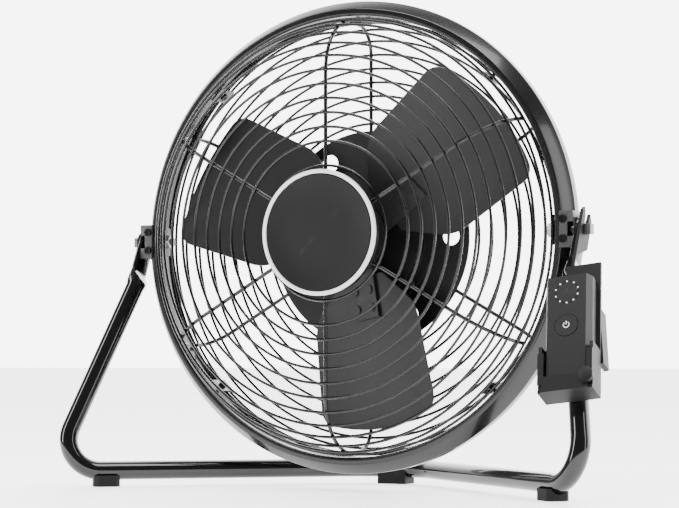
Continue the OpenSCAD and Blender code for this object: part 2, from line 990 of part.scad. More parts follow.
module bolt_nut_left() {
    color("#8d8f91") fan_axis() mirror([1, 0, 0]) bolt_nut();
}

module bolt_nut_right() {
    color("#8d8f91") fan_axis() bolt_nut();
}

// Stands where the holster's hanger is on the other side
module spacer_washer_left() {
    color("#26262a")
    fan_axis()
    mirror([1, 0, 0])
    rotate([0, 90, 0])
    ring(bolt_d / 2, 8, hanger_x + 0.05, hanger_t);
}

// ---- Controller and holster ----

// Outline of the controller seen from its end, as a rounded bar
module ctl_outline(grow) {
    half = ctl_w / 2 + grow;
    polygon([
        [-half, ctl_back + grow], [-half, ctl_front + ctl_edge_depth], [-half + ctl_edge, ctl_front - grow],
        [half - ctl_edge, ctl_front - grow], [half, ctl_front + ctl_edge_depth], [half, ctl_back + grow]
    ]);
}

module ctl_bar(grow, low, high) {
    translate([ctl_x, 0, low])
    linear_extrude(high - low)
    ctl_outline(grow);
}

module controller_front() {
    color("#3a3a3c")
    ctl_frame()
    difference() {
        ctl_bar(0, ctl_bottom, ctl_top);
        ctl_bar(-ctl_wall, ctl_bottom + ctl_wall, ctl_top - ctl_wall);
        block([-ctl_w, ctl_split, ctl_bottom - 1], [2 * ctl_w, 10, ctl_top + 1]);
        button_axis() cylinder(r = button_r + gap, h = 3 * ctl_t, center = true);
        lamp_places() cylinder(d = lamp_d, h = 3 * ctl_wall, center = true);
        socket_bore();
    }
}

module controller_back() {
    color("#343436")
    ctl_frame()
    difference() {
        ctl_bar(0, ctl_bottom, ctl_top);
        ctl_bar(-ctl_wall, ctl_bottom + ctl_wall, ctl_top - ctl_wall);
        block([-ctl_w, 3 * ctl_front, ctl_bottom - 1], [2 * ctl_w, ctl_split, ctl_top + 1]);
        ctl_screw_places() translate([0, 0, -1]) cylinder(r = 1.05, h = ctl_t);
        socket_bore();
    }
}

lamp_d = 1.6;

// Axis of the button, with z into the controller from its front face
module button_axis() {
    translate([ctl_x, ctl_front, button_z])
    rotate([-90, 0, 0])
    children();
}

module lamp_places() {
    for (i = [0:lamps - 1])
        translate([ctl_x, ctl_front, lamp_z])
        rotate([0, 90 + 18 + i * 360 / lamps, 0])
        translate([lamp_ring_r, 0, 0])
        rotate([90, 0, 0])
        children();
}

module ctl_screw_places() {
    for (z = [ctl_top - 6, ctl_bottom + 6])
        translate([ctl_x, ctl_back, z])
        rotate([90, 0, 0])
        children();
}

module controller_board() {
    hole = 1.1;
    color("#1f5a38")
    ctl_frame()
    difference() {
        union() {
            block([ctl_x - ctl_w / 2 + ctl_wall + 1.2, board_y - board_t, ctl_bottom + ctl_wall + 0.5],
                  [ctl_x + ctl_w / 2 - ctl_wall - 1.2, board_y, ctl_top - ctl_wall - 0.5]);
            button_switch();
        }
        ctl_screw_places() cylinder(r = hole, h = ctl_t);
        socket_bore();
    }
}

// Small push switch under the button
module button_switch() {
    base_y = board_y - board_t;
    block([ctl_x - 3, base_y - 1.4, button_z - 3], [ctl_x + 3, base_y, button_z + 3]);
}

module indicator_lights() {
    reach = abs(ctl_front - board_y) - board_t - 0.4;
    color("#f4f6ff")
    ctl_frame()
    lamp_places()
    translate([0, 0, -reach])
    cylinder(d = lamp_d, h = reach + 0.15);
}

module controller_battery() {
    cell_r = 2.9;
    color("#8f9398")
    ctl_frame()
    for (side = [-1, 1])
        translate([ctl_x + side * 7.5, (board_y + ctl_back - ctl_wall) / 2, ctl_bottom + 26])
        cylinder(r = cell_r, h = 40);
}

module controller_screws() {
    length = ctl_back - board_y + board_t;
    color("#77797c")
    ctl_frame()
    ctl_screw_places()
    translate([0, 0, 0.05])
    difference() {
        cylinder(r = 1.0, h = length);
        for (turn = [0, 90])
            rotate([0, 0, turn])
            translate([-0.6, -0.15, -0.5])
            cube([1.2, 0.3, 1]);
    }
}

// Side socket for a lead, low on the controller
module socket_axis() {
    translate([ctl_x + ctl_w / 2 - 7, ctl_front + ctl_t * 0.42, ctl_bottom])
    children();
}

module socket_bore() {
    socket_axis() cylinder(d = 6, h = 12, center = true);
}

// Rounded cover that plugs the socket
module socket_cover() {
    color("#2c2c2e")
    ctl_frame()
    socket_axis() {
        translate([0, 0, -0.2]) cylinder(d = 6 - 0.04, h = 4);
        translate([0, 0, -5]) cylinder(d = 9.6, h = 4.9);
    }
}

module speed_button() {
    base_y = board_y - board_t - 1.4;
    stem = base_y - ctl_front - button_travel - 0.1;
    color("#333335")
    ctl_frame()
    button_axis() {
        translate([0, 0, -0.4]) cylinder(r = button_r, h = ctl_wall + 0.4);
        cylinder(r = 2.2, h = stem);
    }
}

// Cradle, back plate and hanger that reaches up to the tilt bolt
module controller_holster() {
    inner = ctl_w / 2 + gap;
    outer = inner + holster_wall;
    plate_front = ctl_back + gap;
    plate_back = plate_front + holster_wall;
    lip_front = ctl_front - gap - holster_wall;
    floor_top = ctl_bottom - 5.4;
    floor_low = floor_top - holster_wall;
    neck_z = ctl_top - 8;
    color("#303032") {
        difference() {
            ctl_frame() {
                block([ctl_x - outer, plate_front, floor_low], [ctl_x + outer, plate_back, neck_z]);
                block([-2, plate_front, floor_low], [ctl_x + outer, plate_back, ctl_top + 16]);
                for (side = [0, 1])
                    translate([ctl_x, 0, 0])
                    mirror([side, 0, 0])
                    holster_side(inner, outer, lip_front, floor_low, plate_front);
                block([ctl_x - outer, lip_front + 1, floor_low], [ctl_x + outer, plate_back, floor_top]);
                block(
                    [ctl_x - outer + 3, lip_front, floor_low],
                    [ctl_x + outer - 3, ctl_front - gap, ctl_bottom + 4]
                );
            }
            tube_frame() holster_screw_places() translate([0, 0, -10]) cylinder(r = screw_r, h = 20);
        }
        arm_frame() hanger(plate_front);
    }
}

// Side wall of the cradle with the lip that wraps the front edge
module holster_side(inner, outer, lip_front, low, plate_front) {
    lip = 3.4;
    block([inner, lip_front + 2, low], [outer, plate_front + 1, cradle_top]);
    block([outer - lip - 1, lip_front, low + 6], [outer, ctl_front - gap, cradle_top - 6]);
    block([inner, lip_front, low + 6], [outer, lip_front + 3, cradle_top - 6]);
}

// Side plate from the back plate up to the bolt, forked at its top
module hanger(plate_front) {
    half = 9.8;
    neck = -22;
    neck_end = -arm_top - 3;
    neck_back = plate_front + 1.2;
    fork_top = 15;
    slot = bolt_d / 2 + 0.6;
    difference() {
        plate_x(hanger_x, hanger_t)
        polygon([
            [-half, neck], [plate_front, neck_end], [neck_back, neck_end], [neck_back, neck - 4],
            [half, -12], [half, fork_top - 5], [half - 5, fork_top], [slot, fork_top - 6],
            [-slot, fork_top - 6], [-half + 3, fork_top], [-half, fork_top - 4]
        ]);
        rotate([0, 90, 0]) cylinder(r = slot, h = 2 * drum_r);
        block([0, -slot, 0], [2 * drum_r, slot, 2 * fork_top]);
    }
}

module holster_screw_places() {
    for (side = [-1, 1])
        translate([side * (tube_r + 5.4), ctl_back + gap, cradle_top + 12])
        rotate([-90, 0, 0])
        children();
}

// Half clamp behind the tube that holds the holster to it
module holster_clamp() {
    half_h = 22;
    outer = tube_r + 2.2;
    back = ctl_back + gap + holster_wall;
    color("#2a2a2c")
    tube_frame()
    difference() {
        union() {
            translate([0, 0, cradle_top + 12 - half_h]) cylinder(r = outer, h = 2 * half_h);
            block([-17, back + 0.05, cradle_top + 12 - half_h], [21.5, back + 6, cradle_top + 12 + half_h]);
            block([17.5, back + 0.05, cradle_top + 12 - half_h], [21.5, back + 13, cradle_top + 12 + half_h]);
        }
        translate([0, 0, cradle_top + 11 - half_h]) cylinder(r = tube_r + 0.02, h = 2 * half_h + 2);
        block(
            [-outer - 1, -2 * outer, cradle_top + 11 - half_h],
            [outer + 1, back + 0.05, cradle_top + 13 + half_h]
        );
        holster_screw_places() translate([0, 0, -10]) cylinder(r = screw_r, h = 40);
    }
}

module holster_screws() {
    color("#5a5c5e")
    tube_frame()
    holster_screw_places()
    translate([0, 0, holster_wall + 6.05])
    mirror([0, 0, 1])
    cross_screw(holster_wall + 5.5);
}

stand_tube();
foot_left();
foot_right();
foot_rear();
drum_ring();
front_grille();
rear_grille();
grille_clips();
grille_clip_screws();
cap_shell();
cap_trim_ring();
cap_backing();
cap_screw();
motor_plate();
motor_front_shell();
motor_rear_shell();
stator_core();
stator_coils();
motor_driver_board();
front_bearing();
rear_bearing();
motor_screws();
cord_gland();
motor_shaft();
rotor_core();
blade_hub();
blade_1();
blade_2();
blade_3();
blade_rivets();
hub_washer();
hub_nut();
bracket_left();
bracket_right();
bracket_screws();
tilt_bolt_left();
tilt_bolt_right();
bolt_backing_left();
bolt_backing_right();
bolt_nut_left();
bolt_nut_right();
spacer_washer_left();
controller_holster();
holster_clamp();
holster_screws();
controller_front();
controller_back();
controller_board();
indicator_lights();
controller_battery();
controller_screws();
socket_cover();
speed_button();
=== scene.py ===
"""A round high-velocity floor fan: looks, materials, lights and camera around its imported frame."""

import json
import math

import bmesh
import bpy
from mathutils import Matrix, Vector

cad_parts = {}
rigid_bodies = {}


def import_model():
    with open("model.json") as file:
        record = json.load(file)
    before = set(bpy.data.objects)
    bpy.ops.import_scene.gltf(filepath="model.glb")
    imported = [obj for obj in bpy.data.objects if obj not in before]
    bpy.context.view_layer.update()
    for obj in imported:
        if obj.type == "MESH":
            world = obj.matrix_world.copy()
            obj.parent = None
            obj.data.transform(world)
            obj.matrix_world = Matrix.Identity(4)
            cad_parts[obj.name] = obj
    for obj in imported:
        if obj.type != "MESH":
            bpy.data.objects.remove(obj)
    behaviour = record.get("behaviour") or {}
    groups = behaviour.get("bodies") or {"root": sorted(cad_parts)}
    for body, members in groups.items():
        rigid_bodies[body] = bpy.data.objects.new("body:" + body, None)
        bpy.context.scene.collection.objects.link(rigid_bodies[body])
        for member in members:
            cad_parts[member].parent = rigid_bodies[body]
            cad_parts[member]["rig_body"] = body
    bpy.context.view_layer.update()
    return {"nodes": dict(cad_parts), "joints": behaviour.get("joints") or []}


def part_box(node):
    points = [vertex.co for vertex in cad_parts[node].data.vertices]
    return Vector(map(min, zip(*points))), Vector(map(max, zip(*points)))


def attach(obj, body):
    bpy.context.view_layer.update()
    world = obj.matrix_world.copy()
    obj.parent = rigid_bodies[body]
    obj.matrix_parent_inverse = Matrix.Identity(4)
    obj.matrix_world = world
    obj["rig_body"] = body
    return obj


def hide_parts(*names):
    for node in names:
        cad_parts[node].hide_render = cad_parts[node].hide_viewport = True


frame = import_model()

MM = 0.001
NODES = frame["nodes"]
JOINTS = {joint["name"]: joint for joint in frame["joints"]}


# ---- The frame's own places, in metres ----

PIVOT = Vector(JOINTS["drum_tilt"]["pos_m"])
SLIDE = Vector(JOINTS["controller_slide"]["axis"]).normalized()
PRESS = Vector(JOINTS["button_press"]["axis"]).normalized()

# Fan axis: x right, y up, z out of the front, from the tilt axis
FAN = Matrix.Translation(PIVOT) @ Matrix.Rotation(math.radians(90), 4, "X")

DRUM_R = (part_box("drum_ring")[1].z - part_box("drum_ring")[0].z) / 2
CHANNEL_W = 13 * MM
THROAT_R = DRUM_R - CHANNEL_W
LIP_Z = 10 * MM
BARREL_BACK = 9.5 * MM
THROAT_BACK = 12.5 * MM
SHEET = 1.2 * MM

RING_D = 2.2 * MM
SPOKE_D = 3.0 * MM
SPOKES = 6
WIRE_LAP = 0.4 * MM
RING_PITCH = 10.8 * MM
FIRST_RING_R = 68.6 * MM
WIRE_STEP = (RING_D + SPOKE_D) / 2 - 0.6 * MM
BASKET_R = THROAT_R - RING_D / 2 - 0.3 * MM
FRONT_FLAT = 47.5 * MM
FRONT_SHOULDER = 46 * MM
FRONT_RINGS = 11
FRONT_END = 6.6 * MM
REAR_FLAT = 37 * MM
REAR_SHOULDER = 23 * MM
REAR_RINGS = 9
REAR_END = -9 * MM

CAP_R = 47 * MM
CAP_FRONT = 57 * MM
TRIM_W = 3 * MM

BLADE_R = 148 * MM
BLADES = 3
BLADE_ANGLE = 39
BLADE_PITCH = 14.3
BLADE_BACK = 9 * MM
CAMBER_R = 300 * MM
BLADE_T = 1.5 * MM
BLADE_ROOT = 31 * MM

MOTOR_R = 48 * MM

# Controller: centres of the lamp ring and of the button on its face
LAMP_MIDDLE = Vector((192.5, -53.2, 145.05)) * MM
BUTTON_MIDDLE = Vector((196.07, -64.2, 121.74)) * MM
LAMP_RING_R = 8.4 * MM
LAMPS = 10
DOT_R = 0.55 * MM
DOT_LIFT = 0.05 * MM
MARK_R = 2.1 * MM
MARK_LINE = 0.32 * MM
MARK_LIFT = 0.45 * MM
LATCH_R = 5.4 * MM
LATCH_AT = Vector((15.5, -67.5, 3)) * MM

TUBE_R = 7.25 * MM
ARM_LEAN = 25.2
ARM_SPLAY = 11.3
ARM_TOP = 40 * MM
LEG_ANGLE = 40
CORNER_BEND = 24 * MM
APEX_BEND = 60 * MM
TUBE_Z = 12.25 * MM
STRAP_X = 183.2 * MM
STRAP_T = 2.6 * MM
STRAP_W = 19 * MM
STRAP_RISE = 14 * MM
EYE_DROP = ARM_TOP - 13 * MM

# Strength of the studio's white, in front of the fan and behind it
WORLD_FRONT = 0.22
WORLD_BEHIND = 7.0


# ---- Small modelling helpers ----

def finish_piece(name, bm, material, body, replaced=(), smooth_angle=35):
    """Turns a bmesh into a finished piece on its body."""
    mesh = bpy.data.meshes.new(name)
    bm.to_mesh(mesh)
    bm.free()
    piece = bpy.data.objects.new(name, mesh)
    bpy.context.scene.collection.objects.link(piece)
    mesh.materials.append(material)
    shade(mesh, smooth_angle)
    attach(piece, body)
    if replaced:
        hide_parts(*replaced)
    return piece


def shade(mesh, smooth_angle):
    """Smooth shading, with edges sharper than the angle kept sharp."""
    mesh.polygons.foreach_set("use_smooth", [True] * len(mesh.polygons))
    mesh.set_sharp_from_angle(angle=math.radians(smooth_angle))


def face_outwards(bm):
    bmesh.ops.remove_doubles(bm, verts=bm.verts, dist=1e-6)
    bmesh.ops.recalc_face_normals(bm, faces=bm.faces)


def place(bm, matrix):
    bmesh.ops.transform(bm, matrix=matrix, verts=bm.verts)


def spin_profile(bm, points, steps=180):
    """Revolves a closed outline of (radius, z) points about the z axis."""
    verts = [bm.verts.new((r, 0, z)) for r, z in points]
    edges = [bm.edges.new((a, b)) for a, b in zip(verts, verts[1:] + verts[:1])]
    bmesh.ops.spin(
        bm, geom=verts + edges, cent=(0, 0, 0), axis=(0, 0, 1),
        angle=math.tau, steps=steps, use_merge=True, use_duplicate=False,
    )


def arc(centre, radius, start, end, count):
    """Points round an arc, angles in degrees."""
    turn = [math.radians(start + (end - start) * i / count) for i in range(count + 1)]
    return [(centre[0] + radius * math.cos(t), centre[1] + radius * math.sin(t)) for t in turn]


def rounded(points, radius, count=6):
    """A closed outline with each corner turned into an arc; radius is one value or one per corner."""
    radii = radius if hasattr(radius, "__len__") else [radius] * len(points)
    out = []
    total = len(points)
    for i, r in enumerate(radii):
        here = Vector(points[i])
        before = (Vector(points[i - 1]) - here).normalized()
        after = (Vector(points[(i + 1) % total]) - here).normalized()
        half = before.angle(after) / 2
        if r <= 0 or half > math.radians(88):
            out.append(tuple(here))
            continue
        reach = r / math.tan(half)
        centre = here + (before + after).normalized() * (r / math.sin(half))
        a = here + before * reach - centre
        b = here + after * reach - centre
        turn = a.angle_signed(b)
        for k in range(count + 1):
            t = -turn * k / count
            out.append(tuple(centre + Matrix.Rotation(t, 2) @ a))
    return out


def plate(bm, outline, low, high, bevel):
    """A flat plate of an (x, y) outline between two heights, its rims rounded."""
    verts = [bm.verts.new((x, y, low)) for x, y in outline]
    face = bm.faces.new(verts)
    out = bmesh.ops.extrude_face_region(bm, geom=[face])
    top = [g for g in out["geom"] if isinstance(g, bmesh.types.BMVert)]
    bmesh.ops.translate(bm, verts=top, vec=(0, 0, high - low))
    geometry = set(verts) | set(top)
    faces = [f for f in bm.faces if all(v in geometry for v in f.verts)]
    bmesh.ops.recalc_face_normals(bm, faces=faces)
    rims = [
        e for e in bm.edges
        if all(v in geometry for v in e.verts) and len(e.link_faces) == 2
        and e.calc_face_angle() > math.radians(60)
    ]
    bmesh.ops.bevel(
        bm, geom=rims, offset=bevel, segments=2, profile=0.5,
        affect="EDGES", material=-1, clamp_overlap=True,
    )


def frames_along(path):
    """A frame at each point of a path, z along it, turned no more than the path turns."""
    frames = []
    x_axis = None
    for i, point in enumerate(path):
        tangent = (path[min(i + 1, len(path) - 1)] - path[max(i - 1, 0)]).normalized()
        if x_axis is None:
            x_axis = tangent.orthogonal().normalized()
        x_axis = (x_axis - tangent * x_axis.dot(tangent)).normalized()
        y_axis = tangent.cross(x_axis)
        turn = Matrix((x_axis, y_axis, tangent)).transposed().to_4x4()
        frames.append(Matrix.Translation(point) @ turn)
    return frames


def pipe(bm, path, radius, sides):
    """A round pipe with closed ends along a path of points."""
    frames = frames_along(path)
    circle = bmesh.ops.create_circle(bm, cap_ends=False, radius=radius, segments=sides, matrix=frames[0])
    edges = list({e for v in circle["verts"] for e in v.link_edges})
    first = list(edges)
    for a, b in zip(frames, frames[1:]):
        out = bmesh.ops.extrude_edge_only(bm, edges=edges)
        ring = [g for g in out["geom"] if isinstance(g, bmesh.types.BMVert)]
        held = set(ring)
        edges = [
            g for g in out["geom"]
            if isinstance(g, bmesh.types.BMEdge) and g.verts[0] in held and g.verts[1] in held
        ]
        bmesh.ops.transform(bm, matrix=b @ a.inverted(), verts=ring)
    bmesh.ops.edgeloop_fill(bm, edges=first)
    bmesh.ops.edgeloop_fill(bm, edges=edges)


def wire_ring(bm, radius, z, diameter, steps=160, sides=10):
    section = arc((radius, z), diameter / 2, 0, 360 - 360 / sides, sides - 1)
    spin_profile(bm, section, steps)


SOFT_ANGLE = 28


def softened(node, width, material, segments=2):
    """A copy of a CAD node with merged faces and rounded edges, shown in its place."""
    source = NODES[node]
    bm = bmesh.new()
    bm.from_mesh(source.data)
    bmesh.ops.remove_doubles(bm, verts=bm.verts, dist=1e-6)
    bmesh.ops.dissolve_limit(
        bm, angle_limit=math.radians(0.5), verts=bm.verts, edges=bm.edges, use_dissolve_boundaries=False,
    )
    piece = finish_piece(
        "shaped_" + node, bm, material, source["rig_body"], [node], smooth_angle=SOFT_ANGLE,
    )
    bevel = piece.modifiers.new("rounded_edges", "BEVEL")
    bevel.width = width
    bevel.segments = segments
    bevel.limit_method = "ANGLE"
    bevel.angle_limit = math.radians(SOFT_ANGLE)
    bevel.use_clamp_overlap = True
    bevel.harden_normals = True
    return piece


# ---- Shader node groups, built once ----

def new_group(name, inputs, outputs):
    """An empty shader group with named float, colour or vector sockets."""
    group = bpy.data.node_groups.new(name, "ShaderNodeTree")
    for label, kind, value in inputs:
        socket = group.interface.new_socket(name=label, in_out="INPUT", socket_type="NodeSocket" + kind)
        if value is not None:
            socket.default_value = value
    for label, kind in outputs:
        group.interface.new_socket(name=label, in_out="OUTPUT", socket_type="NodeSocket" + kind)
    ends = group.nodes.new("NodeGroupInput"), group.nodes.new("NodeGroupOutput")
    return group, ends[0], ends[1]


def noise(tree, scale, detail=3.0, roughness=0.5):
    """A noise texture on Object coordinates."""
    where = tree.nodes.new("ShaderNodeTexCoord")
    texture = tree.nodes.new("ShaderNodeTexNoise")
    texture.inputs["Detail"].default_value = detail
    texture.inputs["Roughness"].default_value = roughness
    tree.links.new(where.outputs["Object"], texture.inputs["Vector"])
    if isinstance(scale, (int, float)):
        texture.inputs["Scale"].default_value = scale
    else:
        tree.links.new(scale, texture.inputs["Scale"])
    return texture


def math_node(tree, operation, a, b=None, clamp=False):
    node = tree.nodes.new("ShaderNodeMath")
    node.operation = operation
    node.use_clamp = clamp
    for socket, value in zip(node.inputs, (a, b)):
        if value is None:
            continue
        if isinstance(value, (int, float)):
            socket.default_value = value
        else:
            tree.links.new(value, socket)
    return node.outputs[0]


def ramp(tree, value, low, high):
    """0 below low, 1 above high, smooth between."""
    node = tree.nodes.new("ShaderNodeMapRange")
    node.interpolation_type = "SMOOTHSTEP"
    tree.links.new(value, node.inputs["Value"])
    node.inputs["From Min"].default_value = low
    node.inputs["From Max"].default_value = high
    return node.outputs["Result"]


def mix_colour(tree, factor, a, b):
    node = tree.nodes.new("ShaderNodeMix")
    node.data_type = "RGBA"
    for socket, value in ((node.inputs[0], factor), (node.inputs[6], a), (node.inputs[7], b)):
        if hasattr(value, "is_output"):
            tree.links.new(value, socket)
        else:
            socket.default_value = value
    return node.outputs[2]


def edge_wear_group():
    """A mask of rubbed edges and scattered scuffs."""
    group, start, end = new_group(
        "edge_wear", [("Amount", "Float", 0.5), ("Scale", "Float", 60.0)], [("Mask", "Float")])
    shape = group.nodes.new("ShaderNodeNewGeometry")
    edge = ramp(group, shape.outputs["Pointiness"], 0.53, 0.62)
    patch = ramp(group, noise(group, start.outputs["Scale"], 5.0, 0.6).outputs["Fac"], 0.5, 0.66)
    rubbed = math_node(group, "MULTIPLY", edge, patch)
    group.links.new(math_node(group, "MULTIPLY", rubbed, start.outputs["Amount"], True), end.inputs["Mask"])
    return group


def coat_group():
    """Fine ripple and patchy gloss of a sprayed coat."""
    group, start, end = new_group(
        "sprayed_coat", [("Peel", "Float", 900.0), ("Patch", "Float", 14.0)],
        [("Height", "Float"), ("Gloss", "Float")])
    group.links.new(noise(group, start.outputs["Peel"], 2.0).outputs["Fac"], end.inputs["Height"])
    group.links.new(noise(group, start.outputs["Patch"], 4.0).outputs["Fac"], end.inputs["Gloss"])
    return group


def dust_group():
    """A thin veil of dust on what faces up."""
    group, start, end = new_group("dust", [("Amount", "Float", 0.2)], [("Mask", "Float")])
    shape = group.nodes.new("ShaderNodeNewGeometry")
    split = group.nodes.new("ShaderNodeSeparateXYZ")
    group.links.new(shape.outputs["Normal"], split.inputs[0])
    up = ramp(group, split.outputs["Z"], 0.25, 1.0)
    veil = ramp(group, noise(group, 160.0, 6.0, 0.7).outputs["Fac"], 0.35, 0.75)
    both = math_node(group, "MULTIPLY", up, veil)
    group.links.new(math_node(group, "MULTIPLY", both, start.outputs["Amount"], True), end.inputs["Mask"])
    return group


def grain_group():
    """Fine moulded grain: two sizes of pebble."""
    group, start, end = new_group("moulded_grain", [("Scale", "Float", 1500.0)], [("Height", "Float")])
    fine = noise(group, start.outputs["Scale"], 2.0).outputs["Fac"]
    cells = group.nodes.new("ShaderNodeTexVoronoi")
    where = group.nodes.new("ShaderNodeTexCoord")
    group.links.new(where.outputs["Object"], cells.inputs["Vector"])
    group.links.new(start.outputs["Scale"], cells.inputs["Scale"])
    group.links.new(math_node(group, "ADD", fine, cells.outputs["Distance"]), end.inputs["Height"])
    return group


EDGE_WEAR = edge_wear_group()
COAT = coat_group()
DUST = dust_group()
GRAIN = grain_group()


# ---- Materials ----

def put_group(tree, group, **values):
    node = tree.nodes.new("ShaderNodeGroup")
    node.node_tree = group
    for label, value in values.items():
        node.inputs[label].default_value = value
    return node


def new_material(name):
    material = bpy.data.materials.new(name)
    material.use_nodes = True
    tree = material.node_tree
    return material, tree, tree.nodes["Principled BSDF"]


def bump(tree, height, strength, distance):
    node = tree.nodes.new("ShaderNodeBump")
    node.inputs["Strength"].default_value = strength
    node.inputs["Distance"].default_value = distance
    tree.links.new(height, node.inputs["Height"])
    return node.outputs["Normal"]


def vary(tree, value, low, high):
    node = tree.nodes.new("ShaderNodeMapRange")
    tree.links.new(value, node.inputs["Value"])
    node.inputs["To Min"].default_value = low
    node.inputs["To Max"].default_value = high
    return node.outputs["Result"]


BUMP_DEPTH = 0.1 * MM
DUST_COLOUR = (0.32, 0.31, 0.29, 1)


def coated_steel(name, colour, worn, rough, peel, ripple, wear, dust, coat, shine):
    """Sprayed or powder-coated steel with rubbed edges and a little dust."""
    material, tree, shader = new_material(name)
    skin = put_group(tree, COAT, Peel=peel, Patch=14.0)
    rubbed = put_group(tree, EDGE_WEAR, Amount=wear, Scale=70.0)
    veil = put_group(tree, DUST, Amount=dust)
    base = mix_colour(tree, rubbed.outputs["Mask"], (*colour, 1), (*worn, 1))
    base = mix_colour(tree, veil.outputs["Mask"], base, DUST_COLOUR)
    tree.links.new(base, shader.inputs["Base Color"])
    gloss = vary(tree, skin.outputs["Gloss"], rough * 0.8, rough * 1.25)
    dusty = math_node(tree, "MULTIPLY", veil.outputs["Mask"], 0.5)
    tree.links.new(math_node(tree, "ADD", gloss, dusty, True), shader.inputs["Roughness"])
    tree.links.new(bump(tree, skin.outputs["Height"], ripple, BUMP_DEPTH), shader.inputs["Normal"])
    shader.inputs["Specular IOR Level"].default_value = shine
    shader.inputs["Coat Weight"].default_value = coat
    shader.inputs["Coat Roughness"].default_value = rough * 0.4
    return material


def moulded_plastic(name, colour, rough, grain=1500.0, depth=0.25, wear=0.25, shine=0.5):
    """Textured moulded plastic, slightly polished where hands and edges rub."""
    material, tree, shader = new_material(name)
    pebbles = put_group(tree, GRAIN, Scale=grain)
    rubbed = put_group(tree, EDGE_WEAR, Amount=wear, Scale=90.0)
    cloud = noise(tree, 30.0, 4.0)
    shift = vary(tree, cloud.outputs["Fac"], 0.0, 0.35)
    darker = tuple(c * 0.75 for c in colour)
    lighter = tuple(min(1.0, c * 2.2 + 0.01) for c in colour)
    base = mix_colour(tree, shift, (*colour, 1), (*darker, 1))
    base = mix_colour(tree, rubbed.outputs["Mask"], base, (*lighter, 1))
    tree.links.new(base, shader.inputs["Base Color"])
    tree.links.new(vary(tree, cloud.outputs["Fac"], rough * 0.85, rough * 1.15), shader.inputs["Roughness"])
    tree.links.new(bump(tree, pebbles.outputs["Height"], depth, BUMP_DEPTH), shader.inputs["Normal"])
    shader.inputs["Specular IOR Level"].default_value = shine
    return material


def bare_metal(name, colour, rough, brush=(40.0, 40.0, 900.0)):
    """Plated or bare metal with fine brushing and a few dull patches."""
    material, tree, shader = new_material(name)
    where = tree.nodes.new("ShaderNodeTexCoord")
    stretch = tree.nodes.new("ShaderNodeMapping")
    stretch.inputs["Scale"].default_value = brush
    lines = tree.nodes.new("ShaderNodeTexNoise")
    lines.inputs["Scale"].default_value = 4.0
    lines.inputs["Detail"].default_value = 6.0
    tree.links.new(where.outputs["Object"], stretch.inputs["Vector"])
    tree.links.new(stretch.outputs["Vector"], lines.inputs["Vector"])
    rubbed = put_group(tree, EDGE_WEAR, Amount=0.3, Scale=120.0)
    bright = tuple(min(1.0, c * 1.35) for c in colour)
    dull = tuple(c * 0.7 for c in colour)
    patches = ramp(tree, noise(tree, 45.0, 5.0).outputs["Fac"], 0.4, 0.7)
    base = mix_colour(tree, patches, (*colour, 1), (*dull, 1))
    base = mix_colour(tree, rubbed.outputs["Mask"], base, (*bright, 1))
    tree.links.new(base, shader.inputs["Base Color"])
    shader.inputs["Metallic"].default_value = 1.0
    tree.links.new(vary(tree, lines.outputs["Fac"], rough * 0.7, rough * 1.4), shader.inputs["Roughness"])
    tree.links.new(bump(tree, lines.outputs["Fac"], 0.08, BUMP_DEPTH), shader.inputs["Normal"])
    return material


def lamp_material():
    """Clear light pipes with a soft white glow."""
    material, tree, shader = new_material("lamp_white")
    spot = vary(tree, noise(tree, 2000.0).outputs["Fac"], 0.8, 1.0)
    tint = tree.nodes.new("ShaderNodeCombineColor")
    for label in ("Red", "Green", "Blue"):
        tree.links.new(spot, tint.inputs[label])
    tree.links.new(tint.outputs["Color"], shader.inputs["Base Color"])
    tree.links.new(tint.outputs["Color"], shader.inputs["Emission Color"])
    shader.inputs["Emission Strength"].default_value = 0.9
    shader.inputs["Roughness"].default_value = 0.3
    return material


def copper_material():
    """Lacquered copper wire: close windings along the coils."""
    material, tree, shader = new_material("winding_copper")
    where = tree.nodes.new("ShaderNodeTexCoord")
    wave = tree.nodes.new("ShaderNodeTexWave")
    wave.inputs["Scale"].default_value = 700.0
    wave.inputs["Distortion"].default_value = 0.6
    tree.links.new(where.outputs["Object"], wave.inputs["Vector"])
    base = mix_colour(tree, wave.outputs["Fac"], (0.45, 0.16, 0.05, 1), (0.75, 0.33, 0.12, 1))
    tree.links.new(base, shader.inputs["Base Color"])
    tree.links.new(bump(tree, wave.outputs["Fac"], 0.6, 2 * BUMP_DEPTH), shader.inputs["Normal"])
    shader.inputs["Metallic"].default_value = 1.0
    shader.inputs["Roughness"].default_value = 0.35
    return material


def board_material():
    """Green solder mask with paler tracks."""
    material, tree, shader = new_material("board_green")
    where = tree.nodes.new("ShaderNodeTexCoord")
    cells = tree.nodes.new("ShaderNodeTexVoronoi")
    cells.distance = "MANHATTAN"
    cells.inputs["Scale"].default_value = 220.0
    tree.links.new(where.outputs["Object"], cells.inputs["Vector"])
    tracks = ramp(tree, cells.outputs["Distance"], 0.35, 0.42)
    base = mix_colour(tree, tracks, (0.01, 0.09, 0.04, 1), (0.03, 0.18, 0.08, 1))
    tree.links.new(base, shader.inputs["Base Color"])
    tree.links.new(bump(tree, tracks, 0.3, BUMP_DEPTH), shader.inputs["Normal"])
    shader.inputs["Roughness"].default_value = 0.35
    return material


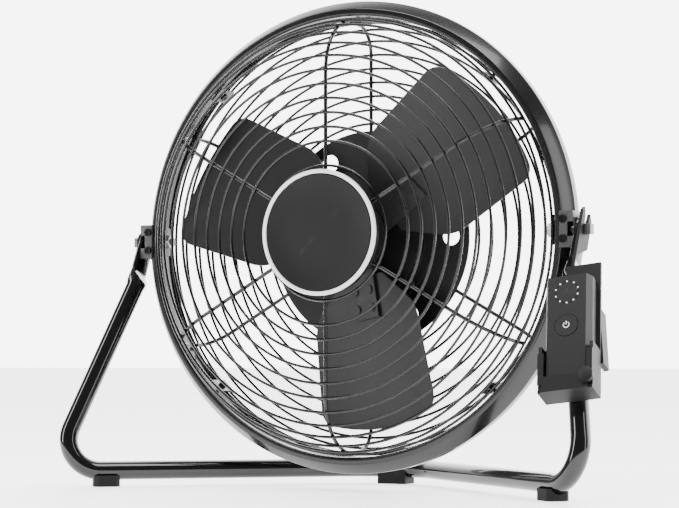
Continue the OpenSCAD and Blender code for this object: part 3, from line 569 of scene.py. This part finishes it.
TUBE_BLACK = coated_steel("tube_gloss_black", (0.0022, 0.0022, 0.0022), (0.02, 0.02, 0.02), 0.14,
                          peel=260.0, ripple=0.008, wear=0.25, dust=0.008, coat=0.55, shine=0.3)
DRUM_BLACK = coated_steel("drum_gloss_black", (0.0030, 0.0030, 0.0032), (0.04, 0.04, 0.04), 0.24,
                          peel=420.0, ripple=0.015, wear=0.35, dust=0.010, coat=0.35, shine=0.35)
WIRE_BLACK = coated_steel("wire_gloss_black", (0.0025, 0.0025, 0.0025), (0.05, 0.05, 0.05), 0.2,
                          peel=700.0, ripple=0.010, wear=0.12, dust=0.006, coat=0.3, shine=0.3)
BLADE_GREY = coated_steel("blade_satin_grey", (0.0060, 0.0060, 0.0064), (0.04, 0.04, 0.04), 0.42,
                          peel=1300.0, ripple=0.12, wear=0.35, dust=0.012, coat=0.0, shine=0.35)
MOTOR_BLACK = coated_steel("motor_satin_black", (0.0035, 0.0035, 0.0037), (0.04, 0.04, 0.04), 0.4,
                           peel=1000.0, ripple=0.2, wear=0.35, dust=0.02, coat=0.0, shine=0.3)
BRACKET_GREY = coated_steel("bracket_grey", (0.040, 0.040, 0.042), (0.20, 0.20, 0.21), 0.3,
                            peel=900.0, ripple=0.1, wear=0.5, dust=0.01, coat=0.2, shine=0.5)
CHARCOAL = moulded_plastic("charcoal_plastic", (0.0065, 0.0065, 0.0068), 0.46, shine=0.3)
CHARCOAL_DARK = moulded_plastic("holster_plastic", (0.0038, 0.0038, 0.0040), 0.5, grain=1200.0, shine=0.25)
CAP_PLASTIC = moulded_plastic("cap_plastic", (0.0050, 0.0050, 0.0053), 0.55,
                              grain=2400.0, depth=0.12, shine=0.2)
TRIM_WHITE = moulded_plastic("trim_white", (0.85, 0.85, 0.83), 0.25, grain=3000.0, depth=0.05, wear=0.1)
RUBBER = moulded_plastic("foot_rubber", (0.006, 0.006, 0.006), 0.72,
                         grain=900.0, depth=0.5, wear=0.15, shine=0.25)
ZINC = bare_metal("zinc_plate", (0.40, 0.41, 0.43), 0.3)
BOLT_GREY = bare_metal("bolt_grey", (0.16, 0.16, 0.165), 0.34)
BLACK_OXIDE = bare_metal("black_oxide", (0.02, 0.02, 0.022), 0.35)
LAMINATION = bare_metal("laminations", (0.28, 0.29, 0.30), 0.42, brush=(20.0, 2600.0, 20.0))
SHAFT_STEEL = bare_metal("ground_steel", (0.6, 0.61, 0.62), 0.18, brush=(900.0, 30.0, 900.0))
CELL_SLEEVE = moulded_plastic("cell_sleeve", (0.35, 0.37, 0.40), 0.3, grain=2000.0, depth=0.05)
COPPER = copper_material()
BOARD = board_material()
LAMP = lamp_material()


# ---- Stand ----

def arm_matrix(side):
    """Frame of an arm: z up along its lean, from the tilt axis; side is 1 on the right."""
    mirror = Matrix.Diagonal((side, 1, 1, 1))
    return mirror @ Matrix.Translation(PIVOT) @ Matrix.Rotation(math.radians(-ARM_LEAN), 4, "X")


def bend_points(corner, before, after, radius, count=14):
    """Points round the bend of a tube at its corner, from direction before to direction after."""
    turn = before.angle(after)
    axis = before.cross(after).normalized()
    start = corner - before * radius * math.tan(turn / 2)
    centre = start + axis.cross(before) * radius
    arm = start - centre
    return [centre + Matrix.Rotation(turn * k / count, 3, axis) @ arm for k in range(count + 1)]


def tube_path():
    """Centre line of the stand tube from the right strap round to the left one."""
    splay, lean, leg = (math.radians(a) for a in (ARM_SPLAY, ARM_LEAN, LEG_ANGLE))
    down = Vector((math.sin(splay), -math.cos(splay) * math.sin(lean), -math.cos(splay) * math.cos(lean)))
    back = Vector((-math.cos(leg), math.sin(leg), 0))
    top = arm_matrix(1) @ Vector((STRAP_X + STRAP_T / 2, 0, -ARM_TOP))
    corner = top + down * ((top.z - TUBE_Z) / -down.z)
    apex = corner + back * (corner.x / math.cos(leg))
    apex.x = 0
    right = [top] + [top.lerp(corner, t) for t in (0.02, 0.3, 0.6)]
    right += bend_points(corner, down, back, CORNER_BEND)
    ahead = Vector((back.x, -back.y, 0))
    turn = bend_points(apex, back, ahead, APEX_BEND, 24)
    right += [right[-1].lerp(turn[0], t) for t in (0.25, 0.5, 0.75)]
    left = [Vector((-p.x, p.y, p.z)) for p in reversed(right)]
    return right + turn + left


def ring_edges(bm, ring):
    """The edges round a ring of vertices, made where there are none yet."""
    return [bm.edges.get(pair) or bm.edges.new(pair) for pair in zip(ring, ring[1:] + ring[:1])]


def strap_section(t, sides=32):
    """Outline of the end at t of its rise, from round at 0 to flat with round corners at 1."""
    ease = t * t * (3 - 2 * t)
    half_x = TUBE_R * (1 - ease) + STRAP_T / 2 * ease
    half_y = TUBE_R * (1 - ease) + STRAP_W / 2 * ease
    power = 2 + 10 * ease
    points = []
    for i in range(sides):
        c, s = math.cos(math.tau * i / sides), math.sin(math.tau * i / sides)
        scale = (abs(c) ** power + abs(s) ** power) ** (-1 / power)
        points.append(Vector((half_x * c * scale, half_y * s * scale, STRAP_RISE * t)))
    straight = Matrix.Translation((STRAP_X + STRAP_T / 2, 0, -ARM_TOP))
    splayed = straight @ Matrix.Rotation(math.radians(-ARM_SPLAY), 4, "Y")
    turn = splayed.lerp(straight, ease)
    return [turn @ p for p in points]


def strap_loft(bm, side, steps=10):
    """The tube's flattened end: from a round section to a flat eye round the bolt."""
    arm = arm_matrix(side)
    rings = [[bm.verts.new(arm @ p) for p in strap_section(k / steps)] for k in range(steps + 1)]
    for low, high in zip(rings, rings[1:]):
        bmesh.ops.bridge_loops(bm, edges=ring_edges(bm, low) + ring_edges(bm, high))
    half = STRAP_W / 2
    eye = [(-half, 0.0), (-half, -EYE_DROP), (half, -EYE_DROP), (half, 0.0)]
    eye += arc((0, 0), half, 0, 180, 20)[1:-1]
    flat = bmesh.new()
    plate(flat, eye, STRAP_X, STRAP_X + STRAP_T, bevel=0.5 * MM)
    upright = Matrix(((0, 0, 1, 0), (1, 0, 0, 0), (0, 1, 0, 0), (0, 0, 0, 1)))
    place(flat, arm @ upright)
    merge_into(bm, flat)


def merge_into(bm, other):
    """Adds another bmesh to this one."""
    mesh = bpy.data.meshes.new("part")
    other.to_mesh(mesh)
    other.free()
    bm.from_mesh(mesh)
    bpy.data.meshes.remove(mesh)


def make_stand():
    bm = bmesh.new()
    pipe(bm, tube_path(), TUBE_R, sides=32)
    for side in (1, -1):
        strap_loft(bm, side)
    face_outwards(bm)
    finish_piece("stand_bent_tube", bm, TUBE_BLACK, "stand", ["stand_tube"], 40)
    for foot in ("foot_left", "foot_right", "foot_rear"):
        softened(foot, 0.9 * MM, RUBBER, 3)


# ---- Drum ----

def make_drum_ring():
    """Rolled channel ring: conical front face, beaded crest, hollow behind."""
    bead = 1.9 * MM
    fold = 2.0 * MM
    crest = THROAT_R + 4 * MM
    rim = DRUM_R - 0.1 * MM
    flare = -1.7 * MM
    crown = LIP_Z - fold
    outer = [(rim, -BARREL_BACK + bead), (rim, flare)]
    outer += arc((rim - fold, flare), fold, 0, 48, 5)
    outer += arc((crest + 0.4 * MM, crown), fold, 48, 90, 4)
    outer += arc((THROAT_R + fold, crown), fold, 90, 180, 8)
    outer += [(THROAT_R, -THROAT_BACK + bead)]
    outer += arc((THROAT_R + bead, -THROAT_BACK + bead * 0.6), bead, 180, 360, 10)
    under = LIP_Z - 3.4 * MM
    inner = [(THROAT_R + 2 * SHEET, -THROAT_BACK + 4 * MM), (THROAT_R + 1.5 * SHEET, under)]
    inner += [(crest - 0.4 * MM, under), (rim - 3.3 * MM, flare - 1 * MM)]
    inner += [(rim - 1.5 * MM, -BARREL_BACK + 4 * MM)]
    inner += arc((rim - bead, -BARREL_BACK + bead * 0.6), bead, 180, 360, 10)
    bm = bmesh.new()
    spin_profile(bm, outer + inner, 240)
    face_outwards(bm)
    place(bm, FAN)
    finish_piece("drum_rolled_ring", bm, DRUM_BLACK, "drum", ["drum_ring"], 50)


# ---- Grilles ----

def wire_point(along, flat_r, shoulder):
    """(radius, drop) of a point of the basket at that distance along a spoke."""
    turn = max(0.0, along - flat_r) / shoulder
    return min(along, flat_r) + shoulder * math.sin(turn), shoulder * (1 - math.cos(turn))


def make_basket(bm, first_r, count, shoulder, depth, inner_r):
    """Rings and spokes of a grille that opens towards -z, its flat rings at z = 0."""
    flat_r = BASKET_R - shoulder
    bend_r = shoulder - WIRE_STEP
    straight = depth - shoulder
    turn = 90 if straight > 0 else math.degrees(math.acos(-straight / bend_r))
    for i in range(count):
        radius, drop = wire_point(first_r + i * RING_PITCH, flat_r, shoulder)
        wire_ring(bm, radius, -drop, RING_D)
    if straight > 0:
        wire_ring(bm, BASKET_R, -depth + RING_D / 2 + WIRE_LAP, RING_D)
    else:
        end = math.radians(turn) - math.asin((RING_D / 2 + WIRE_LAP) / shoulder)
        wire_ring(bm, flat_r + shoulder * math.sin(end), shoulder * (math.cos(end) - 1), RING_D)
    for i in range(SPOKES):
        line = [Vector((inner_r, 0, -WIRE_STEP)), Vector((flat_r * 0.8, 0, -WIRE_STEP))]
        line += [Vector((x, 0, z)) for x, z in arc((flat_r, -shoulder), bend_r, 90, 90 - turn, 16)]
        if straight > 0:
            line += [Vector((flat_r + bend_r, 0, -depth))]
        spin = Matrix.Rotation(math.radians(90 + i * 360 / SPOKES), 4, "Z")
        pipe(bm, [spin @ p for p in line], SPOKE_D / 2, sides=12)


def make_grilles():
    depth = FRONT_FLAT - RING_D / 2 - FRONT_END
    bm = bmesh.new()
    make_basket(bm, FIRST_RING_R, FRONT_RINGS, FRONT_SHOULDER, depth, CAP_R - 12 * MM)
    wire_ring(bm, CAP_R + 3.4 * MM, 0, RING_D)
    place(bm, FAN @ Matrix.Translation((0, 0, FRONT_FLAT - RING_D / 2)))
    bmesh.ops.recalc_face_normals(bm, faces=bm.faces)
    finish_piece("front_wire_grille", bm, WIRE_BLACK, "drum", ["front_grille"], 60)
    bm = bmesh.new()
    start = FIRST_RING_R + 2 * RING_PITCH
    make_basket(bm, start, REAR_RINGS, REAR_SHOULDER, REAR_FLAT - RING_D / 2 + REAR_END, MOTOR_R + 10 * MM)
    flip = Matrix.Diagonal((1, 1, -1, 1))
    place(bm, FAN @ flip @ Matrix.Translation((0, 0, REAR_FLAT - RING_D / 2)))
    bmesh.ops.recalc_face_normals(bm, faces=bm.faces)
    finish_piece("rear_wire_grille", bm, WIRE_BLACK, "drum", ["rear_grille"], 60)


# ---- Cap ----

def make_turned(name, outline, material, node):
    """A piece of the cap, turned round the fan's axis."""
    bm = bmesh.new()
    spin_profile(bm, outline, 160)
    face_outwards(bm)
    place(bm, FAN)
    finish_piece(name, bm, material, "drum", [node], 40)


def make_cap():
    """Dished disc with a skirt, and the pale ring let in round it."""
    centre = 0.0001
    skirt = 7 * MM
    wall = 2 * MM
    face = CAP_FRONT - 0.6 * MM
    seat = CAP_FRONT - 2.2 * MM
    edge = CAP_R - TRIM_W - 0.1 * MM
    side = CAP_R - 0.4 * MM
    outline = [(centre, face - wall), (edge - wall, face - wall), (edge - wall, face - skirt)]
    outline += [(side, face - skirt), (side, seat), (edge, seat)]
    outline += arc((edge - 0.7 * MM, face - 0.7 * MM), 0.7 * MM, 0, 90, 4)
    outline += [(edge * 0.97, face), (edge * 0.955, face - 0.3 * MM)]
    outline += [(edge * 0.5, face - 0.2 * MM), (centre, face)]
    make_turned("cap_disc", outline, CAP_PLASTIC, "cap_shell")
    low = CAP_FRONT - 1.98 * MM
    inner = CAP_R - TRIM_W
    trim = [(inner, low), (CAP_R, low)]
    trim += arc((CAP_R - 1 * MM, CAP_FRONT - 1 * MM), 1 * MM, 0, 90, 5)
    trim += arc((inner + 0.6 * MM, CAP_FRONT - 0.6 * MM), 0.6 * MM, 90, 180, 4)
    make_turned("cap_bright_ring", trim, TRIM_WHITE, "cap_trim_ring")


# ---- Rotor ----

def blade_matrix(index):
    """Frame of a blade: x out along it, y across it, turned to its pitch."""
    turn = Matrix.Rotation(math.radians(BLADE_ANGLE + index * 360 / BLADES), 4, "Z")
    pitch = Matrix.Rotation(math.radians(BLADE_PITCH), 4, "X")
    return FAN @ turn @ Matrix.Translation((0, 0, -BLADE_BACK)) @ pitch


def blade_outline():
    """Paddle outline with a round tip and round corners, in the plane of the blade."""
    root_half = 20 * MM
    bulge_x, bulge_half = 60 * MM, 50 * MM
    tip_x, tip_half = BLADE_R * 0.93, 56 * MM
    tip = arc((0, 0), BLADE_R, -18, 18, 10)
    low = [(BLADE_ROOT, -root_half), (bulge_x, -bulge_half), (tip_x, -tip_half)]
    high = [(x, -y) for x, y in reversed(low)]
    radii = [4 * MM, 30 * MM, 13 * MM]
    return rounded(low + tip + high, radii + [0.0] * len(tip) + radii[::-1], 8)


def cut_across(bm, places, direction):
    """Cuts every face at each of the places along a direction."""
    for at in places:
        geometry = bm.verts[:] + bm.edges[:] + bm.faces[:]
        bmesh.ops.bisect_plane(
            bm, geom=geometry, dist=1e-6, plane_co=Vector(direction) * at, plane_no=direction)


def make_blade(index):
    """A sheet paddle, cambered across its width."""
    bm = bmesh.new()
    bm.faces.new([bm.verts.new((x, y, 0)) for x, y in blade_outline()])
    across, along = 34, 20
    cut_across(bm, [(-60 + 120 * k / across) * MM for k in range(1, across)], (0, 1, 0))
    cut_across(bm, [BLADE_ROOT + (BLADE_R - BLADE_ROOT) * k / along for k in range(1, along)], (1, 0, 0))
    for v in bm.verts:
        v.co.z = CAMBER_R - math.sqrt(CAMBER_R ** 2 - v.co.y ** 2)
    bmesh.ops.recalc_face_normals(bm, faces=bm.faces)
    if sum(f.normal.z for f in bm.faces) < 0:
        bmesh.ops.reverse_faces(bm, faces=bm.faces)
    bmesh.ops.translate(bm, verts=bm.verts, vec=(0, 0, BLADE_T / 2))
    bmesh.ops.solidify(bm, geom=bm.faces[:], thickness=BLADE_T)
    bmesh.ops.recalc_face_normals(bm, faces=bm.faces)
    place(bm, blade_matrix(index))
    name = f"blade_{index + 1}"
    piece = finish_piece("paddle_" + name, bm, BLADE_GREY, "rotor", [name], 40)
    bevel = piece.modifiers.new("rolled_rim", "BEVEL")
    bevel.width = 0.45 * MM
    bevel.segments = 2
    bevel.limit_method = "ANGLE"
    bevel.angle_limit = math.radians(50)


# ---- What stays as the CAD has it, with rounded edges and its own finish ----

# Width of the rounding in mm, segments, finish, nodes
HARDWARE = (
    (0.35, 3, BRACKET_GREY, "bracket_left bracket_right"),
    (0.5, 3, BOLT_GREY, "tilt_bolt_left tilt_bolt_right"),
    (0.3, 2, ZINC, "bolt_nut_left bolt_nut_right hub_nut hub_washer"),
    (0.25, 2, BLACK_OXIDE, "bracket_screws grille_clip_screws"),
    (0.25, 2, BLADE_GREY, "blade_rivets"),
    (0.25, 2, ZINC, "cap_screw motor_screws holster_screws"),
    (0.3, 2, DRUM_BLACK, "bolt_backing_left bolt_backing_right grille_clips"),
    (0.4, 2, MOTOR_BLACK, "motor_plate"),
    (1.6, 4, MOTOR_BLACK, "motor_front_shell"),
    (1.2, 4, MOTOR_BLACK, "motor_rear_shell"),
    (0.8, 3, BLADE_GREY, "blade_hub"),
    (0.3, 2, CHARCOAL_DARK, "spacer_washer_left"),
    (0.4, 2, CAP_PLASTIC, "cap_backing"),
    (0.4, 2, CHARCOAL_DARK, "cord_gland"),
    (0.8, 3, CHARCOAL_DARK, "controller_holster holster_clamp"),
    (0.9, 3, CHARCOAL, "controller_front"),
    (0.6, 3, CHARCOAL, "controller_back"),
    (0.3, 2, CHARCOAL, "speed_button"),
    (0.8, 3, CHARCOAL_DARK, "socket_cover"),
)


def make_hardware():
    for width, segments, material, nodes in HARDWARE:
        for node in nodes.split():
            softened(node, width * MM, material, segments)


def controller_place():
    """Frame on the controller's face: x across, y along its slide, z out, from the middle of the lamps."""
    out = -PRESS
    across = SLIDE.cross(out).normalized()
    turn = Matrix((across, SLIDE, out)).transposed().to_4x4()
    return Matrix.Translation(LAMP_MIDDLE) @ turn


def make_controller_marks():
    """Small glowing dots half a step round from the dark light pipes, and a ring-and-bar mark on the button."""
    face = controller_place()
    bm = bmesh.new()
    for k in range(LAMPS):
        spin = Matrix.Rotation(math.tau * (k + 0.5) / LAMPS, 4, "Z")
        spot = face @ spin @ Matrix.Translation((LAMP_RING_R, 0, DOT_LIFT))
        bmesh.ops.create_uvsphere(
            bm, u_segments=16, v_segments=8, radius=DOT_R, matrix=spot @ Matrix.Diagonal((1, 1, 0.5, 1)))
    finish_piece("lamp_dots", bm, LAMP, "controller", smooth_angle=60)
    offset = BUTTON_MIDDLE - LAMP_MIDDLE
    down = offset.dot(SLIDE)
    side = offset.dot(face.col[0].to_3d())
    mark = face @ Matrix.Translation((side, down, MARK_LIFT))
    bm = bmesh.new()
    ring = [mark @ Vector((x, y, 0)) for x, y in arc((0, 0), MARK_R, 125, 415, 28)]
    bar = [mark @ Vector((0, y * MM, 0)) for y in (0.3, 1.6, 2.9)]
    for line in (ring, bar):
        pipe(bm, line, MARK_LINE, sides=8)
    bmesh.ops.recalc_face_normals(bm, faces=bm.faces)
    finish_piece("button_mark", bm, TRIM_WHITE, "button", smooth_angle=60)


def make_latch():
    """A low eight-sided boss at the holster's lower right corner."""
    face = controller_place()
    bm = bmesh.new()
    outline = [(LATCH_R * math.cos(t), 1.15 * LATCH_R * math.sin(t)) for t in
               (math.radians(22.5 + 45 * k) for k in range(8))]
    plate(bm, rounded(outline, 0.3 * MM, 3), -3 * MM, 1.6 * MM, bevel=0.5 * MM)
    place(bm, face @ Matrix.Translation(LATCH_AT))
    finish_piece("holster_latch", bm, CHARCOAL_DARK, "stand", smooth_angle=40)


def finish_hidden_nodes():
    """Finishes of the pieces inside, whose CAD shape is right."""
    for node, material in (
        ("stator_core", LAMINATION), ("rotor_core", LAMINATION), ("stator_coils", COPPER),
        ("motor_driver_board", BOARD), ("controller_board", BOARD), ("front_bearing", SHAFT_STEEL),
        ("rear_bearing", SHAFT_STEEL), ("motor_shaft", SHAFT_STEEL), ("controller_battery", CELL_SLEEVE),
        ("controller_screws", ZINC), ("indicator_lights", CAP_PLASTIC),
    ):
        mesh = NODES[node].data
        mesh.materials.clear()
        mesh.materials.append(material)
        shade(mesh, 30)


# ---- Stage, lights and camera ----

def make_stage():
    bpy.ops.mesh.primitive_plane_add(size=60, location=(0, 0, 0))
    floor = bpy.context.object
    floor.name = "studio_floor"
    material, tree, shader = new_material("floor_white")
    shader.inputs["Base Color"].default_value = (0.95, 0.95, 0.95, 1)
    shader.inputs["Emission Color"].default_value = (1, 1, 1, 1)
    shader.inputs["Emission Strength"].default_value = 1.6
    shader.inputs["Roughness"].default_value = 0.55
    floor.data.materials.append(material)
    make_world()


def make_world():
    """A white studio: bright behind the fan, dim in front, so that black parts keep their depth."""
    world = bpy.data.worlds.new("studio_white")
    bpy.context.scene.world = world
    world.use_nodes = True
    tree = world.node_tree
    where = tree.nodes.new("ShaderNodeTexCoord")
    split = tree.nodes.new("ShaderNodeSeparateXYZ")
    tree.links.new(where.outputs["Generated"], split.inputs[0])
    behind = ramp(tree, split.outputs["Y"], 0.1, 0.6)
    background = tree.nodes["Background"]
    background.inputs["Color"].default_value = (1, 1, 1, 1)
    tree.links.new(vary(tree, behind, WORLD_FRONT, WORLD_BEHIND), background.inputs["Strength"])


def soft_light(name, place_at, aim, size, power):
    data = bpy.data.lights.new(name, "AREA")
    data.shape = "RECTANGLE"
    data.size, data.size_y = size
    data.energy = power
    light = bpy.data.objects.new(name, data)
    bpy.context.scene.collection.objects.link(light)
    light.location = place_at
    light.rotation_euler = (Vector(aim) - Vector(place_at)).to_track_quat("-Z", "Y").to_euler()


# Name, place, width and height in metres, power in watts
LIGHTS = (
    ("key_left", (-1.4, -1.1, 0.9), (0.3, 1.5), 22),
    ("rim_right", (1.5, -0.3, 0.6), (0.2, 1.4), 6),
    ("top", (0.1, -0.5, 1.9), (1.6, 0.8), 40),
)
LIGHTS_AIM = (0, 0, 0.19)


def make_lights():
    for name, place_at, size, power in LIGHTS:
        soft_light(name, place_at, LIGHTS_AIM, size, power)


def make_camera():
    data = bpy.data.cameras.new("camera")
    data.sensor_width = 36
    data.lens = 108.75
    camera = bpy.data.objects.new("camera", data)
    bpy.context.scene.collection.objects.link(camera)
    camera.location = (0.6944, PIVOT.y - 1.40227, 0.0957)
    camera.rotation_euler = (math.radians(93.029), 0, math.radians(26.693))
    bpy.context.scene.camera = camera


make_camera()
make_stand()
make_drum_ring()
make_grilles()
make_cap()
for blade_index in range(BLADES):
    make_blade(blade_index)
make_hardware()
make_controller_marks()
make_latch()
finish_hidden_nodes()
make_stage()
make_lights()
